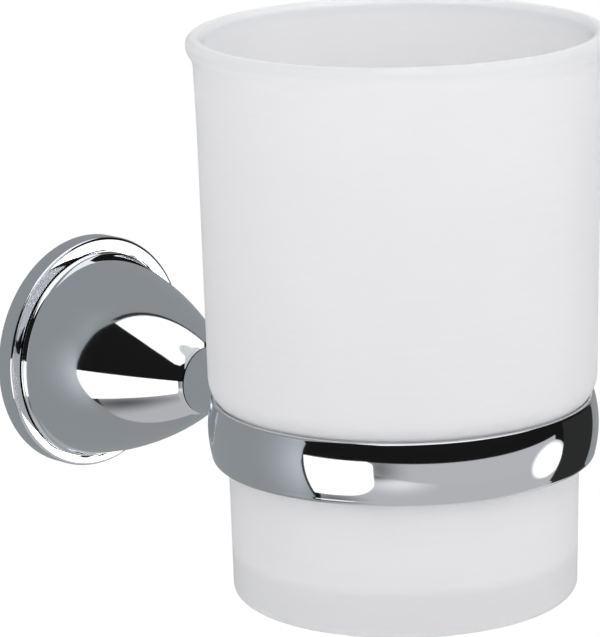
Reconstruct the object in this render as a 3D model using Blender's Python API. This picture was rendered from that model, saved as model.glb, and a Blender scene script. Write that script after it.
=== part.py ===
# Wall-mounted toothbrush tumbler holder: a frosted glass tumbler that hangs by its shoulder in
# a chromed ring, on an arm that ends in a bell cover and a round flange on the wall.
#
# Frame: +Z up, the wall is the plane Y = 0 and the holder stands out towards -Y. The origin is
# the centre of the bracket's back face, on the arm's axis.
# Depths are measured out from the wall, heights of the glass up from its foot.

import math

import bmesh
import bpy
from mathutils import Matrix

MM = 0.001
FIT_GAP = 0.3 * MM  # clearance between pieces that seat on each other

# Tumbler
RIM_RADIUS = 36.0 * MM  # outside of the rounded lip
GLASS_HEIGHT = 98.6 * MM
LIP_ROUND = 1.5 * MM  # radius of the lip's bead
LIP_OVERHANG = 1.0 * MM  # how far the bead stands proud of the wall
FLARE = 1.35 * MM  # how much wider the wall is under the lip than at the shoulder
FLARE_STEADY_SHARE = 0.7  # share of the flare that grows evenly with height
FLARE_POWER = 7  # how late the rest of it opens out
GLASS_WALL = 1.8 * MM
SHOULDER_HEIGHT = 39.1 * MM  # where the wall starts to turn in
SHOULDER_ROUND = 5.9 * MM
SHOULDER_STEP = 3.05 * MM  # how far the shoulder draws in
LOWER_TAPER = 0.55 * MM  # how much the lower wall narrows towards the foot
LOWER_WALL = 2.2 * MM
FLOOR_THICKNESS = 8.5 * MM
FLOOR_ROUND = 4.0 * MM  # inside corner of the floor
FOOT_ROUND = 1.9 * MM
FOOT_LAND = 7.15 * MM  # width of the flat that it stands on
HOLLOW_DEPTH = 0.8 * MM  # shallow hollow inside that flat

# Ring
GLASS_CLEARANCE = 0.5 * MM  # radial, between the lower glass and the ring's bore
SEAT_RISE = 1.4 * MM  # top of the ring above the foot of its curved seat
CREST_WALL = 1.1 * MM  # thickness of the rounded top edge
BELLY_SWELL = 0.6 * MM  # how far the belly stands out beyond the crest
BELLY_DROP = 5.3 * MM  # widest line of the ring below its top
BELLY_LIFT = 5.8 * MM  # the same line above its bottom
LOWER_DRAW = 0.6 * MM  # how far the side draws in below that line
BOTTOM_ROUND = 1.0 * MM  # radius of the lower outer edge
RING_RISE = 0.65 * MM  # middle of the ring above the arm's axis

# Neck, one piece with the ring
NECK_LENGTH = 17.4 * MM  # from the bell to the ring's bore
NECK_END_RADIUS = 4.4 * MM  # where it runs into the ring
NECK_BULGE = 0.5 * MM
NECK_SOLID = 4.5 * MM  # metal left beyond the bolt's bore
NECK_EMBED = 0.5 * MM  # metal left between the neck's end and the ring's bore

# Bell cover
BELL_LENGTH = 29.5 * MM
BELL_RADIUS = 19.35 * MM  # at the base
BELL_BULGE = 1.68 * MM
BELL_LIP = 0.6 * MM  # straight band round the base
BELL_EDGE = 0.4 * MM  # rounding above that band
BELL_WALL = 2.2 * MM
NOSE_RADIUS = 6.25 * MM
NOSE_WALL = 3.0 * MM
SPIGOT_STEP = 2.45 * MM  # shoulder between the bell's base and its spigot
SPIGOT_WALL = 2.0 * MM
SPIGOT_SETBACK = 1.0 * MM  # the spigot's end stands off the wall by this

# Flange disc
DISC_THICKNESS = 3.6 * MM
DISC_SEAT_DEPTH = 0.9 * MM  # the bell's base sits this deep in the disc's face
DISC_MARGIN = 2.3 * MM  # how far it stands out round the bell
DISC_RISE = 0.5 * MM  # its rim is this far above the arm's axis, its bore and seat are on it
DISC_EDGE = 0.6 * MM

# Wall bracket, a cup with its floor on the wall
BRACKET_CLEARANCE = 0.8 * MM  # radial, inside the spigot
BRACKET_WALL = 1.8 * MM
BRACKET_FLOOR = 2.2 * MM
GROOVE_DEPTH = 1.0 * MM
GROOVE_SETBACK = 2.0 * MM  # middle of the groove below the cup's mouth

# Wall screws, pan head with a cross recess, and their plugs
SCREW_RADIUS = 1.6 * MM
SCREW_LENGTH = 16.0 * MM
SCREW_POINT = 3.0 * MM
SCREW_HEAD_REST = 1.2 * MM  # how far the head covers the edge of its hole
SCREW_HEAD_HEIGHT = 2.4 * MM
SCREW_HEAD_SIDE = 0.9 * MM
SCREW_MARGIN = 0.8 * MM  # between the head and the cup's wall
RECESS_WIDTH = 0.9 * MM
RECESS_LENGTH = 4.2 * MM
RECESS_DEPTH = 1.4 * MM
PLUG_WALL = 0.6 * MM
PLUG_LENGTH = 16.5 * MM
PLUG_COLLAR = 3.5 * MM  # plain stretch behind the wall's face
PLUG_TEETH = 5
TOOTH_DEPTH = 0.25 * MM
PLUG_NOSE = 2.0 * MM  # tapered end
PLUG_NOSE_DRAFT = 0.7 * MM  # how much the end draws in
PLUG_BORE_ROOM = 0.6 * MM  # bore left free beyond the screw's point
PLUG_SLOT = 0.8 * MM

# Tie bolt, from inside the bell into the neck
BOLT_RADIUS = 2.5 * MM
BOLT_HEAD_RADIUS = 4.25 * MM
BOLT_HEAD_HEIGHT = 5.0 * MM
BOLT_SOCKET = 4.0 * MM  # across flats
BOLT_SOCKET_DEPTH = 2.6 * MM
BOLT_END_ROOM = 1.5 * MM  # bore left free beyond the bolt's end

# Spring washer
WASHER_WIDTH = 1.6 * MM
WASHER_THICKNESS = 1.2 * MM
WASHER_SLIT = 0.7 * MM
WASHER_SLIT_ANGLE = 25.0  # degrees off square

# Grub screw, under the bell, bears in the bracket's groove
GRUB_RISE = 4.6 * MM  # its axis beyond the bell's base
GRUB_RADIUS = 2.0 * MM
GRUB_SINK = 0.6 * MM  # set below the bell's surface
GRUB_TIP_RADIUS = 0.4 * MM
GRUB_SOCKET = 2.0 * MM  # across flats
GRUB_SOCKET_DEPTH = 1.5 * MM

OVERRUN = 2.0 * MM  # how far cutters reach past the metal
MERGE = 0.001 * MM

# Fineness of the round pieces
GLASS_STEPS = 64
FLANGE_STEPS = 60
SMALL_STEPS = 24
SHARP_ANGLE = 28.0  # degrees

# Sizes of the glass and the ring that follow from these
WALL_RADIUS = RIM_RADIUS - LIP_OVERHANG  # glass under the lip
BODY_RADIUS = WALL_RADIUS - FLARE  # glass at the shoulder
LOWER_RADIUS = BODY_RADIUS - SHOULDER_STEP
FOOT_RADIUS = LOWER_RADIUS - LOWER_TAPER
HOLLOW_RADIUS = FOOT_RADIUS - FOOT_ROUND - FOOT_LAND
SHOULDER_CENTRE = BODY_RADIUS - SHOULDER_ROUND
RING_BORE = LOWER_RADIUS + GLASS_CLEARANCE
SEAT_ROUND = SHOULDER_ROUND + FIT_GAP
SEAT_DROP = math.sqrt(SEAT_ROUND**2 - (RING_BORE - SHOULDER_CENTRE) ** 2)
RING_TOP = RING_RISE + (BELLY_DROP + BELLY_LIFT) / 2
RING_BOTTOM = RING_TOP - BELLY_DROP - BELLY_LIFT
SEAT_LEVEL = RING_TOP - SEAT_RISE + SEAT_DROP  # height of the seat's centre
GLASS_FOOT = SEAT_LEVEL - SHOULDER_HEIGHT

# Depths and radii along the arm that follow
BELL_BASE = DISC_THICKNESS - DISC_SEAT_DEPTH + FIT_GAP
NOSE_DEPTH = BELL_BASE + BELL_LENGTH
NECK_START = NOSE_DEPTH + FIT_GAP
PROJECTION = NECK_START + NECK_LENGTH + RING_BORE  # wall to the axis of the glass
NECK_END = PROJECTION - RING_BORE - NECK_EMBED
SPIGOT_RADIUS = BELL_RADIUS - SPIGOT_STEP
SPIGOT_BORE = SPIGOT_RADIUS - SPIGOT_WALL
DISC_RADIUS = BELL_RADIUS + DISC_MARGIN
BRACKET_RADIUS = SPIGOT_BORE - BRACKET_CLEARANCE
GROOVE_LEVEL = BELL_BASE + GRUB_RISE
BRACKET_HEIGHT = GROOVE_LEVEL + GROOVE_SETBACK
PLUG_BORE = SCREW_RADIUS + FIT_GAP
PLUG_RADIUS = PLUG_BORE + PLUG_WALL
SCREW_HOLE = PLUG_RADIUS + FIT_GAP
SCREW_HEAD_RADIUS = SCREW_HOLE + SCREW_HEAD_REST
SCREW_OFFSET = BRACKET_RADIUS - BRACKET_WALL - SCREW_MARGIN - SCREW_HEAD_RADIUS
SCREW_SEAT = BRACKET_FLOOR + FIT_GAP
BOLT_HOLE = BOLT_RADIUS + FIT_GAP
WASHER_END = NOSE_DEPTH - NOSE_WALL - FIT_GAP
WASHER_START = WASHER_END - WASHER_THICKNESS
BOLT_SEAT = WASHER_START - FIT_GAP
BOLT_BORE_END = NECK_END - NECK_SOLID


def clear_scene():
    for obj in list(bpy.data.objects):
        bpy.data.objects.remove(obj)


def make_material(name, colour, roughness, metallic):
    mat = bpy.data.materials.new(name)
    mat.use_nodes = True
    shader = mat.node_tree.nodes["Principled BSDF"]
    shader.inputs["Base Color"].default_value = (*colour, 1.0)
    shader.inputs["Roughness"].default_value = roughness
    shader.inputs["Metallic"].default_value = metallic
    return mat


def arc(centre, radius, start, end, steps):
    """Points on a circle in a profile, from angle start to end in degrees."""
    angles = [math.radians(start + (end - start) * i / steps) for i in range(steps + 1)]
    return [
        (centre[0] + radius * math.cos(a), centre[1] + radius * math.sin(a)) for a in angles
    ]


def bowed(start, end, bulge, steps):
    """Points from start to end on a flat arc that stands out from the chord by bulge."""
    along = (end[0] - start[0], end[1] - start[1])
    length = math.hypot(*along)
    outward = (along[1] / length, -along[0] / length)
    points = []
    for i in range(steps + 1):
        share = i / steps
        lift = bulge * 4 * share * (1 - share)
        radius = start[0] + along[0] * share + outward[0] * lift
        height = start[1] + along[1] * share + outward[1] * lift
        points.append((radius, height))
    return points


def drawn_in(reach, width, steps):
    """Offsets on an arc that starts upright and has drawn in by width after reach."""
    radius = (reach**2 + width**2) / (2 * width)
    full = math.asin(reach / radius)
    turns = [full * i / steps for i in range(1, steps + 1)]
    return [(radius * (1 - math.cos(t)), radius * math.sin(t)) for t in turns]


def new_object(name, bm, material):
    bmesh.ops.remove_doubles(bm, verts=bm.verts, dist=MERGE)
    bmesh.ops.recalc_face_normals(bm, faces=bm.faces)
    mesh = bpy.data.meshes.new(name)
    bm.to_mesh(mesh)
    bm.free()
    mesh.shade_smooth()
    mesh.set_sharp_from_angle(angle=math.radians(SHARP_ANGLE))
    obj = bpy.data.objects.new(name, mesh)
    bpy.context.collection.objects.link(obj)
    if material:
        mesh.materials.append(material)
    return obj


def turned(name, profile, steps, material=None):
    """A solid turned about its own Z axis from a profile of (radius, height) points."""
    bm = bmesh.new()
    verts = [bm.verts.new((r, 0, h)) for r, h in profile]
    edges = [bm.edges.new(pair) for pair in zip(verts, verts[1:])]
    if profile[0][0] > MERGE or profile[-1][0] > MERGE:
        edges.append(bm.edges.new((verts[-1], verts[0])))
    bmesh.ops.spin(
        bm,
        geom=verts + edges,
        cent=(0, 0, 0),
        axis=(0, 0, 1),
        angle=math.tau,
        steps=steps,
        use_merge=True,
    )
    return new_object(name, bm, material)


def rod(name, radius, start, end, steps):
    """A plain round or many-sided rod on its own Z axis, from height start to end."""
    bm = bmesh.new()
    bmesh.ops.create_cone(
        bm,
        cap_ends=True,
        segments=steps,
        radius1=radius,
        radius2=radius,
        depth=end - start,
        matrix=Matrix.Translation((0, 0, (start + end) / 2)),
    )
    return new_object(name, bm, None)


def block(name, size):
    bm = bmesh.new()
    bmesh.ops.create_cube(bm, size=1, matrix=Matrix.Diagonal((*size, 1)))
    return new_object(name, bm, None)


def place(obj, parent, location=(0, 0, 0), rotation=(0, 0, 0)):
    obj.parent = parent
    obj.location = location
    obj.rotation_euler = [math.radians(a) for a in rotation]
    return obj


def shape_with(obj, tool, operation):
    """Cut the tool out of the piece, or join it on."""
    tool.hide_render = True
    tool.display_type = "WIRE"
    step = obj.modifiers.new(tool.name, "BOOLEAN")
    step.operation = operation
    step.solver = "EXACT"
    step.object = tool


def make_empty(name, location, rotation):
    empty = bpy.data.objects.new(name, None)
    bpy.context.collection.objects.link(empty)
    return place(empty, None, location, rotation)


def glass_radius(height):
    """Outside of the wall between the shoulder and the lip: a flare that opens late."""
    share = (height - SHOULDER_HEIGHT) / (GLASS_HEIGHT - LIP_ROUND - SHOULDER_HEIGHT)
    opening = FLARE_STEADY_SHARE * share + (1 - FLARE_STEADY_SHARE) * share**FLARE_POWER
    return BODY_RADIUS + FLARE * opening


def shoulder_turn(radius, round_radius):
    """How far the shoulder's arc turns before it reaches the given radius, in degrees."""
    reach = (radius - SHOULDER_CENTRE) / round_radius
    return math.degrees(math.acos(min(1.0, max(0.0, reach))))


def tumbler_profile():
    lip_centre = (RIM_RADIUS - LIP_ROUND, GLASS_HEIGHT - LIP_ROUND)
    lip_start = -math.degrees(math.acos((LIP_ROUND - LIP_OVERHANG) / LIP_ROUND))
    lip = arc(lip_centre, LIP_ROUND, lip_start, 165, 8)
    flare_height = lip[0][1] - SHOULDER_HEIGHT
    heights = [SHOULDER_HEIGHT + flare_height * i / 5 for i in range(1, 5)]
    outside = [(glass_radius(h), h) for h in heights]
    inside = [(r - GLASS_WALL, h) for r, h in reversed(outside)]
    inner_top = lip[-1][1] - LIP_ROUND / 2

    centre = (SHOULDER_CENTRE, SHOULDER_HEIGHT)
    turn = shoulder_turn(LOWER_RADIUS, SHOULDER_ROUND)
    shoulder = arc(centre, SHOULDER_ROUND, -turn, 0, 5)
    lower_inside = LOWER_RADIUS - LOWER_WALL
    inner_round = SHOULDER_ROUND - GLASS_WALL
    inner_turn = shoulder_turn(lower_inside, inner_round)
    inner_shoulder = arc(centre, inner_round, 0, -inner_turn, 4)

    foot = arc((FOOT_RADIUS - FOOT_ROUND, FOOT_ROUND), FOOT_ROUND, -90, 0, 4)
    foot_inside = FOOT_RADIUS - LOWER_WALL
    corner_centre = (foot_inside - FLOOR_ROUND, FLOOR_THICKNESS + FLOOR_ROUND)
    corner = arc(corner_centre, FLOOR_ROUND, 0, -90, 3)
    return [
        (0, HOLLOW_DEPTH),
        (HOLLOW_RADIUS / 2, HOLLOW_DEPTH * 3 / 4),
        (HOLLOW_RADIUS, 0),
        *foot,
        *shoulder,
        *outside,
        *lip,
        (glass_radius(inner_top) - GLASS_WALL, inner_top),
        *inside,
        *inner_shoulder,
        *corner,
        (0, FLOOR_THICKNESS),
    ]


def seat_radius(height):
    """Inside of the ring's seat, which follows the shoulder of the glass."""
    return SHOULDER_CENTRE + math.sqrt(SEAT_ROUND**2 - (SEAT_LEVEL - height) ** 2)


def ring_profile():
    crest_round = CREST_WALL / 2
    crest_level = RING_TOP - crest_round
    crest_centre = (seat_radius(crest_level) + crest_round, crest_level)
    belly_level = RING_TOP - BELLY_DROP
    belly_radius = crest_centre[0] + crest_round + BELLY_SWELL
    edge_radius = belly_radius - LOWER_DRAW - BOTTOM_ROUND
    edge_centre = (edge_radius, RING_BOTTOM + BOTTOM_ROUND)

    edge = arc(edge_centre, BOTTOM_ROUND, -90, -15, 4)
    lower = drawn_in(BELLY_LIFT - BOTTOM_ROUND, LOWER_DRAW, 3)
    upper = drawn_in(crest_level - belly_level, BELLY_SWELL, 3)
    below = [(belly_radius - w, belly_level - h) for w, h in reversed(lower)]
    above = [(belly_radius - w, belly_level + h) for w, h in upper]
    crest = arc(crest_centre, crest_round, 30, 180, 5)
    turn = math.degrees(math.asin((SEAT_LEVEL - crest_level) / SEAT_ROUND))
    last = shoulder_turn(RING_BORE, SEAT_ROUND)
    seat = arc((SHOULDER_CENTRE, SEAT_LEVEL), SEAT_ROUND, -turn, -last, 3)
    return [
        (RING_BORE, RING_BOTTOM),
        *edge,
        *below,
        (belly_radius, belly_level),
        *above,
        *crest,
        *seat[1:],
    ]


def bell_outside():
    start = (BELL_RADIUS - BELL_EDGE, BELL_BASE + BELL_LIP + BELL_EDGE)
    return bowed(start, (NOSE_RADIUS, NOSE_DEPTH), BELL_BULGE, 10)


def bell_radius(depth):
    """Outside of the bell at a depth out from the wall."""
    points = bell_outside()
    for (r0, d0), (r1, d1) in zip(points, points[1:]):
        if depth <= d1:
            return r0 + (r1 - r0) * (depth - d0) / (d1 - d0)
    return NOSE_RADIUS


def bell_profile():
    edge_centre = (BELL_RADIUS - BELL_EDGE, BELL_BASE + BELL_LIP)
    nose_inside = NOSE_DEPTH - NOSE_WALL
    return [
        (SPIGOT_BORE, SPIGOT_SETBACK),
        (SPIGOT_RADIUS, SPIGOT_SETBACK),
        (SPIGOT_RADIUS, BELL_BASE),
        (BELL_RADIUS, BELL_BASE),
        *arc(edge_centre, BELL_EDGE, 0, 60, 2),
        *bell_outside()[1:],
        (BOLT_HOLE, NOSE_DEPTH),
        (BOLT_HOLE, nose_inside),
        (bell_radius(nose_inside) - BELL_WALL, nose_inside),
        (SPIGOT_BORE, BRACKET_HEIGHT + FIT_GAP),
    ]


def disc_profile():
    """The plain plate, before its bore and the bell's seat are cut."""
    front_centre = (DISC_RADIUS - DISC_EDGE, DISC_THICKNESS - DISC_EDGE)
    return [
        (0, 0),
        (DISC_RADIUS, 0),
        *arc(front_centre, DISC_EDGE, 0, 90, 3),
        (0, DISC_THICKNESS),
    ]


def bracket_profile():
    return [
        (0, 0),
        (BRACKET_RADIUS, 0),
        (BRACKET_RADIUS, GROOVE_LEVEL - GROOVE_DEPTH),
        (BRACKET_RADIUS - GROOVE_DEPTH, GROOVE_LEVEL),
        (BRACKET_RADIUS, GROOVE_LEVEL + GROOVE_DEPTH),
        (BRACKET_RADIUS, BRACKET_HEIGHT),
        (BRACKET_RADIUS - BRACKET_WALL, BRACKET_HEIGHT),
        (BRACKET_RADIUS - BRACKET_WALL, BRACKET_FLOOR),
        (0, BRACKET_FLOOR),
    ]


def neck_profile():
    side = bowed((NOSE_RADIUS, NECK_START), (NECK_END_RADIUS, NECK_END), NECK_BULGE, 6)
    return [
        (BOLT_HOLE, NECK_START),
        *side,
        (0, NECK_END),
        (0, BOLT_BORE_END),
        (BOLT_HOLE, BOLT_BORE_END),
    ]


def wall_screw_profile():
    tip = SCREW_SEAT - SCREW_LENGTH
    crown = SCREW_HEAD_HEIGHT - SCREW_HEAD_SIDE
    dome = [
        (SCREW_HEAD_RADIUS * r, SCREW_SEAT + SCREW_HEAD_SIDE + crown * h)
        for r, h in arc((0, 0), 1, 72, 0, 4)
    ]
    return [
        (0, SCREW_SEAT + SCREW_HEAD_HEIGHT),
        *dome,
        (SCREW_HEAD_RADIUS, SCREW_SEAT),
        (SCREW_RADIUS, SCREW_SEAT),
        (SCREW_RADIUS, tip + SCREW_POINT),
        (0, tip),
    ]


def wall_plug_profile():
    front = -FIT_GAP
    end = front - PLUG_LENGTH
    bore_end = SCREW_SEAT - SCREW_LENGTH - PLUG_BORE_ROOM
    first = front - PLUG_COLLAR
    pitch = (PLUG_LENGTH - PLUG_COLLAR - PLUG_NOSE) / PLUG_TEETH
    teeth = []
    for i in range(PLUG_TEETH):
        teeth.append((PLUG_RADIUS, first - pitch * i))
        teeth.append((PLUG_RADIUS - TOOTH_DEPTH, first - pitch * (i + 1 / 8)))
    return [
        (PLUG_BORE, front),
        (PLUG_RADIUS, front),
        *teeth,
        (PLUG_RADIUS, end + PLUG_NOSE),
        (PLUG_RADIUS - PLUG_NOSE_DRAFT, end),
        (0, end),
        (0, bore_end),
        (PLUG_BORE, bore_end),
    ]


def tie_bolt_profile():
    return [
        (0, BOLT_SEAT - BOLT_HEAD_HEIGHT),
        (BOLT_HEAD_RADIUS, BOLT_SEAT - BOLT_HEAD_HEIGHT),
        (BOLT_HEAD_RADIUS, BOLT_SEAT),
        (BOLT_RADIUS, BOLT_SEAT),
        (BOLT_RADIUS, BOLT_BORE_END - BOLT_END_ROOM),
        (0, BOLT_BORE_END - BOLT_END_ROOM),
    ]


def make_tumbler(glass_axis, glass):
    tumbler = turned("tumbler", tumbler_profile(), GLASS_STEPS, glass)
    place(tumbler, glass_axis, (0, 0, GLASS_FOOT))


def make_ring(glass_axis, arm_axis, chrome):
    ring = turned("holder_ring", ring_profile(), GLASS_STEPS, chrome)
    place(ring, glass_axis)
    neck = turned("neck_shape", neck_profile(), SMALL_STEPS * 2)
    place(neck, arm_axis)
    shape_with(ring, neck, "UNION")


def make_bell(arm_axis, chrome):
    bell = turned("bell_cover", bell_profile(), FLANGE_STEPS, chrome)
    place(bell, arm_axis)
    hole_end = BELL_RADIUS + OVERRUN
    hole = rod("grub_hole", GRUB_RADIUS + FIT_GAP, BRACKET_RADIUS, hole_end, SMALL_STEPS)
    place(hole, arm_axis, (0, 0, GROOVE_LEVEL), (90, 0, 0))
    shape_with(bell, hole, "DIFFERENCE")


def make_disc(arm_axis, chrome):
    disc = turned("flange_disc", disc_profile(), FLANGE_STEPS, chrome)
    place(disc, arm_axis, (0, DISC_RISE, 0))
    face = DISC_THICKNESS + OVERRUN
    floor = DISC_THICKNESS - DISC_SEAT_DEPTH
    bore = rod("disc_bore", SPIGOT_RADIUS + FIT_GAP, -OVERRUN, face, FLANGE_STEPS)
    seat = rod("disc_seat", BELL_RADIUS + FIT_GAP, floor, face, FLANGE_STEPS)
    for tool in (bore, seat):
        place(tool, arm_axis)
        shape_with(disc, tool, "DIFFERENCE")


def make_bracket(arm_axis, zinc):
    bracket = turned("wall_bracket", bracket_profile(), FLANGE_STEPS, zinc)
    place(bracket, arm_axis)
    for side in (1, -1):
        hole = rod("screw_hole", SCREW_HOLE, -OVERRUN, BRACKET_FLOOR + OVERRUN, SMALL_STEPS)
        place(hole, arm_axis, (0, side * SCREW_OFFSET, 0))
        shape_with(bracket, hole, "DIFFERENCE")


def make_wall_screw(name, side, arm_axis, steel):
    screw = turned(name, wall_screw_profile(), SMALL_STEPS, steel)
    place(screw, arm_axis, (0, side * SCREW_OFFSET, 0))
    for turn in (45, 135):
        slot = block(name + "_slot", (RECESS_LENGTH, RECESS_WIDTH, RECESS_DEPTH * 2))
        place(slot, screw, (0, 0, SCREW_SEAT + SCREW_HEAD_HEIGHT), (0, 0, turn))
        shape_with(screw, slot, "DIFFERENCE")


def make_wall_plug(name, side, arm_axis, nylon):
    plug = turned(name, wall_plug_profile(), SMALL_STEPS, nylon)
    place(plug, arm_axis, (0, side * SCREW_OFFSET, 0))
    slot_length = PLUG_LENGTH - PLUG_COLLAR + OVERRUN
    slot = block(name + "_slot", (PLUG_SLOT, PLUG_RADIUS * 3, slot_length))
    place(slot, plug, (0, 0, -FIT_GAP - PLUG_COLLAR - slot_length / 2))
    shape_with(plug, slot, "DIFFERENCE")


def make_tie_bolt(arm_axis, steel):
    bolt = turned("tie_bolt", tie_bolt_profile(), SMALL_STEPS, steel)
    place(bolt, arm_axis)
    head = BOLT_SEAT - BOLT_HEAD_HEIGHT
    radius = BOLT_SOCKET / math.sqrt(3)
    socket = rod("bolt_socket", radius, head - OVERRUN, head + BOLT_SOCKET_DEPTH, 6)
    place(socket, arm_axis)
    shape_with(bolt, socket, "DIFFERENCE")


def make_washer(arm_axis, steel):
    profile = [
        (BOLT_HOLE, WASHER_START),
        (BOLT_HOLE + WASHER_WIDTH, WASHER_START),
        (BOLT_HOLE + WASHER_WIDTH, WASHER_END),
        (BOLT_HOLE, WASHER_END),
    ]
    washer = turned("spring_washer", profile, SMALL_STEPS, steel)
    place(washer, arm_axis)
    slit = block("washer_slit", (WASHER_SLIT, WASHER_WIDTH * 2, WASHER_THICKNESS * 3))
    middle = (0, BOLT_HOLE + WASHER_WIDTH / 2, (WASHER_START + WASHER_END) / 2)
    place(slit, arm_axis, middle, (0, WASHER_SLIT_ANGLE, 0))
    shape_with(washer, slit, "DIFFERENCE")


def make_grub_screw(arm_axis, steel):
    outer = bell_radius(GROOVE_LEVEL) - GRUB_SINK
    groove_bottom = BRACKET_RADIUS - GROOVE_DEPTH
    tip = groove_bottom + GRUB_TIP_RADIUS + FIT_GAP * math.sqrt(2)
    profile = [
        (0, tip),
        (GRUB_TIP_RADIUS, tip),
        (GRUB_RADIUS, tip + GRUB_RADIUS - GRUB_TIP_RADIUS),
        (GRUB_RADIUS, outer),
        (0, outer),
    ]
    grub = turned("grub_screw", profile, SMALL_STEPS, steel)
    place(grub, arm_axis, (0, 0, GROOVE_LEVEL), (90, 0, 0))
    radius = GRUB_SOCKET / math.sqrt(3)
    socket = rod("grub_socket", radius, outer - GRUB_SOCKET_DEPTH, outer + OVERRUN, 6)
    place(socket, grub)
    shape_with(grub, socket, "DIFFERENCE")


def main():
    clear_scene()
    chrome = make_material("chrome", (0.80, 0.81, 0.83), 0.06, 1.0)
    glass = make_material("frosted_glass", (0.90, 0.91, 0.92), 0.55, 0.0)
    zinc = make_material("zinc_plate", (0.55, 0.56, 0.58), 0.40, 1.0)
    steel = make_material("plated_steel", (0.62, 0.62, 0.62), 0.30, 1.0)
    nylon = make_material("nylon", (0.62, 0.60, 0.56), 0.50, 0.0)

    arm_axis = make_empty("arm_axis", (0, 0, 0), (90, 0, 0))  # its +Z points out of the wall
    glass_axis = make_empty("glass_axis", (0, -PROJECTION, 0), (0, 0, 0))

    make_tumbler(glass_axis, glass)
    make_ring(glass_axis, arm_axis, chrome)
    make_bell(arm_axis, chrome)
    make_disc(arm_axis, chrome)
    make_bracket(arm_axis, zinc)
    for place_name, side in (("upper", 1), ("lower", -1)):
        make_wall_screw("wall_screw_" + place_name, side, arm_axis, steel)
        make_wall_plug("wall_plug_" + place_name, side, arm_axis, nylon)
    make_tie_bolt(arm_axis, steel)
    make_washer(arm_axis, steel)
    make_grub_screw(arm_axis, steel)
    bpy.context.view_layer.update()


main()
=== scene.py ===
# Wall-mounted toothbrush tumbler holder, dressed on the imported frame.
# +Z is up, the wall is Y = 0 and the holder stands out towards -Y. Tables give millimetres.
import math

import bmesh
import bpy
from mathutils import Matrix, Vector


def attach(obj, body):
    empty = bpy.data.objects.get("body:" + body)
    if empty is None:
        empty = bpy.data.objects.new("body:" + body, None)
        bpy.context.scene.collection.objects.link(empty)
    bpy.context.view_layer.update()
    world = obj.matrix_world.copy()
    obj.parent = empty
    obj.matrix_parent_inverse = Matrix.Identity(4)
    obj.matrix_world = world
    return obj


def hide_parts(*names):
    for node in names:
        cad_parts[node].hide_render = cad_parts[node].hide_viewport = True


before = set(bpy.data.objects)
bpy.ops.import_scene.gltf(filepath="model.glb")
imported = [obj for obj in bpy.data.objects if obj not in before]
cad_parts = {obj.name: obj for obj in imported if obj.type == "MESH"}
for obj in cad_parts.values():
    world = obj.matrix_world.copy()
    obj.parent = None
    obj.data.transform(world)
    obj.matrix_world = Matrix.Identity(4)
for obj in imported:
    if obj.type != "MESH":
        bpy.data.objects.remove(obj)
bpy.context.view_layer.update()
mm = 0.001
view = bpy.context.view_layer

# The arm's length runs from the wall to the glass's axis, and levels are over the arm's axis.
layout = {"armLength": 81.3, "glassFoot": -29.083, "glassHeight": 98.6, "fitGap": 0.3}
# Points nearer than weld are one, edges under sliver are closed up, and cutters run past by cutPast.
making = {"weld": 0.002, "sliver": 0.001, "cutPast": 2.0}
alongArm = Matrix.Rotation(math.radians(90), 4, "X")  # a turned shape's Z points out of the wall


def onArm(depth=0.0, rise=0.0):
    return Matrix.Translation((0, -depth * mm, rise * mm)) @ alongArm


def onGlass(height=0.0):
    return Matrix.Translation((0, -layout["armLength"] * mm, height * mm))


def linearColour(hexText):
    parts = [int(hexText[i : i + 2], 16) / 255 for i in (1, 3, 5)]
    return (*[c / 12.92 if c <= 0.04045 else ((c + 0.055) / 1.055) ** 2.4 for c in parts], 1.0)


def addNode(tree, kind, links=None, **settings):
    node = tree.nodes.new(kind)
    for name, value in settings.items():
        setattr(node, name, value)
    for key, value in (links or {}).items():
        if isinstance(value, bpy.types.NodeSocket):
            tree.links.new(value, node.inputs[key])
        else:
            node.inputs[key].default_value = value
    return node


def newMaterial(name, sockets):
    material = bpy.data.materials.new(name)
    material.use_nodes = True
    shader = material.node_tree.nodes["Principled BSDF"]
    for key, value in sockets.items():
        shader.inputs[key].default_value = value
    return material, material.node_tree, shader


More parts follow.
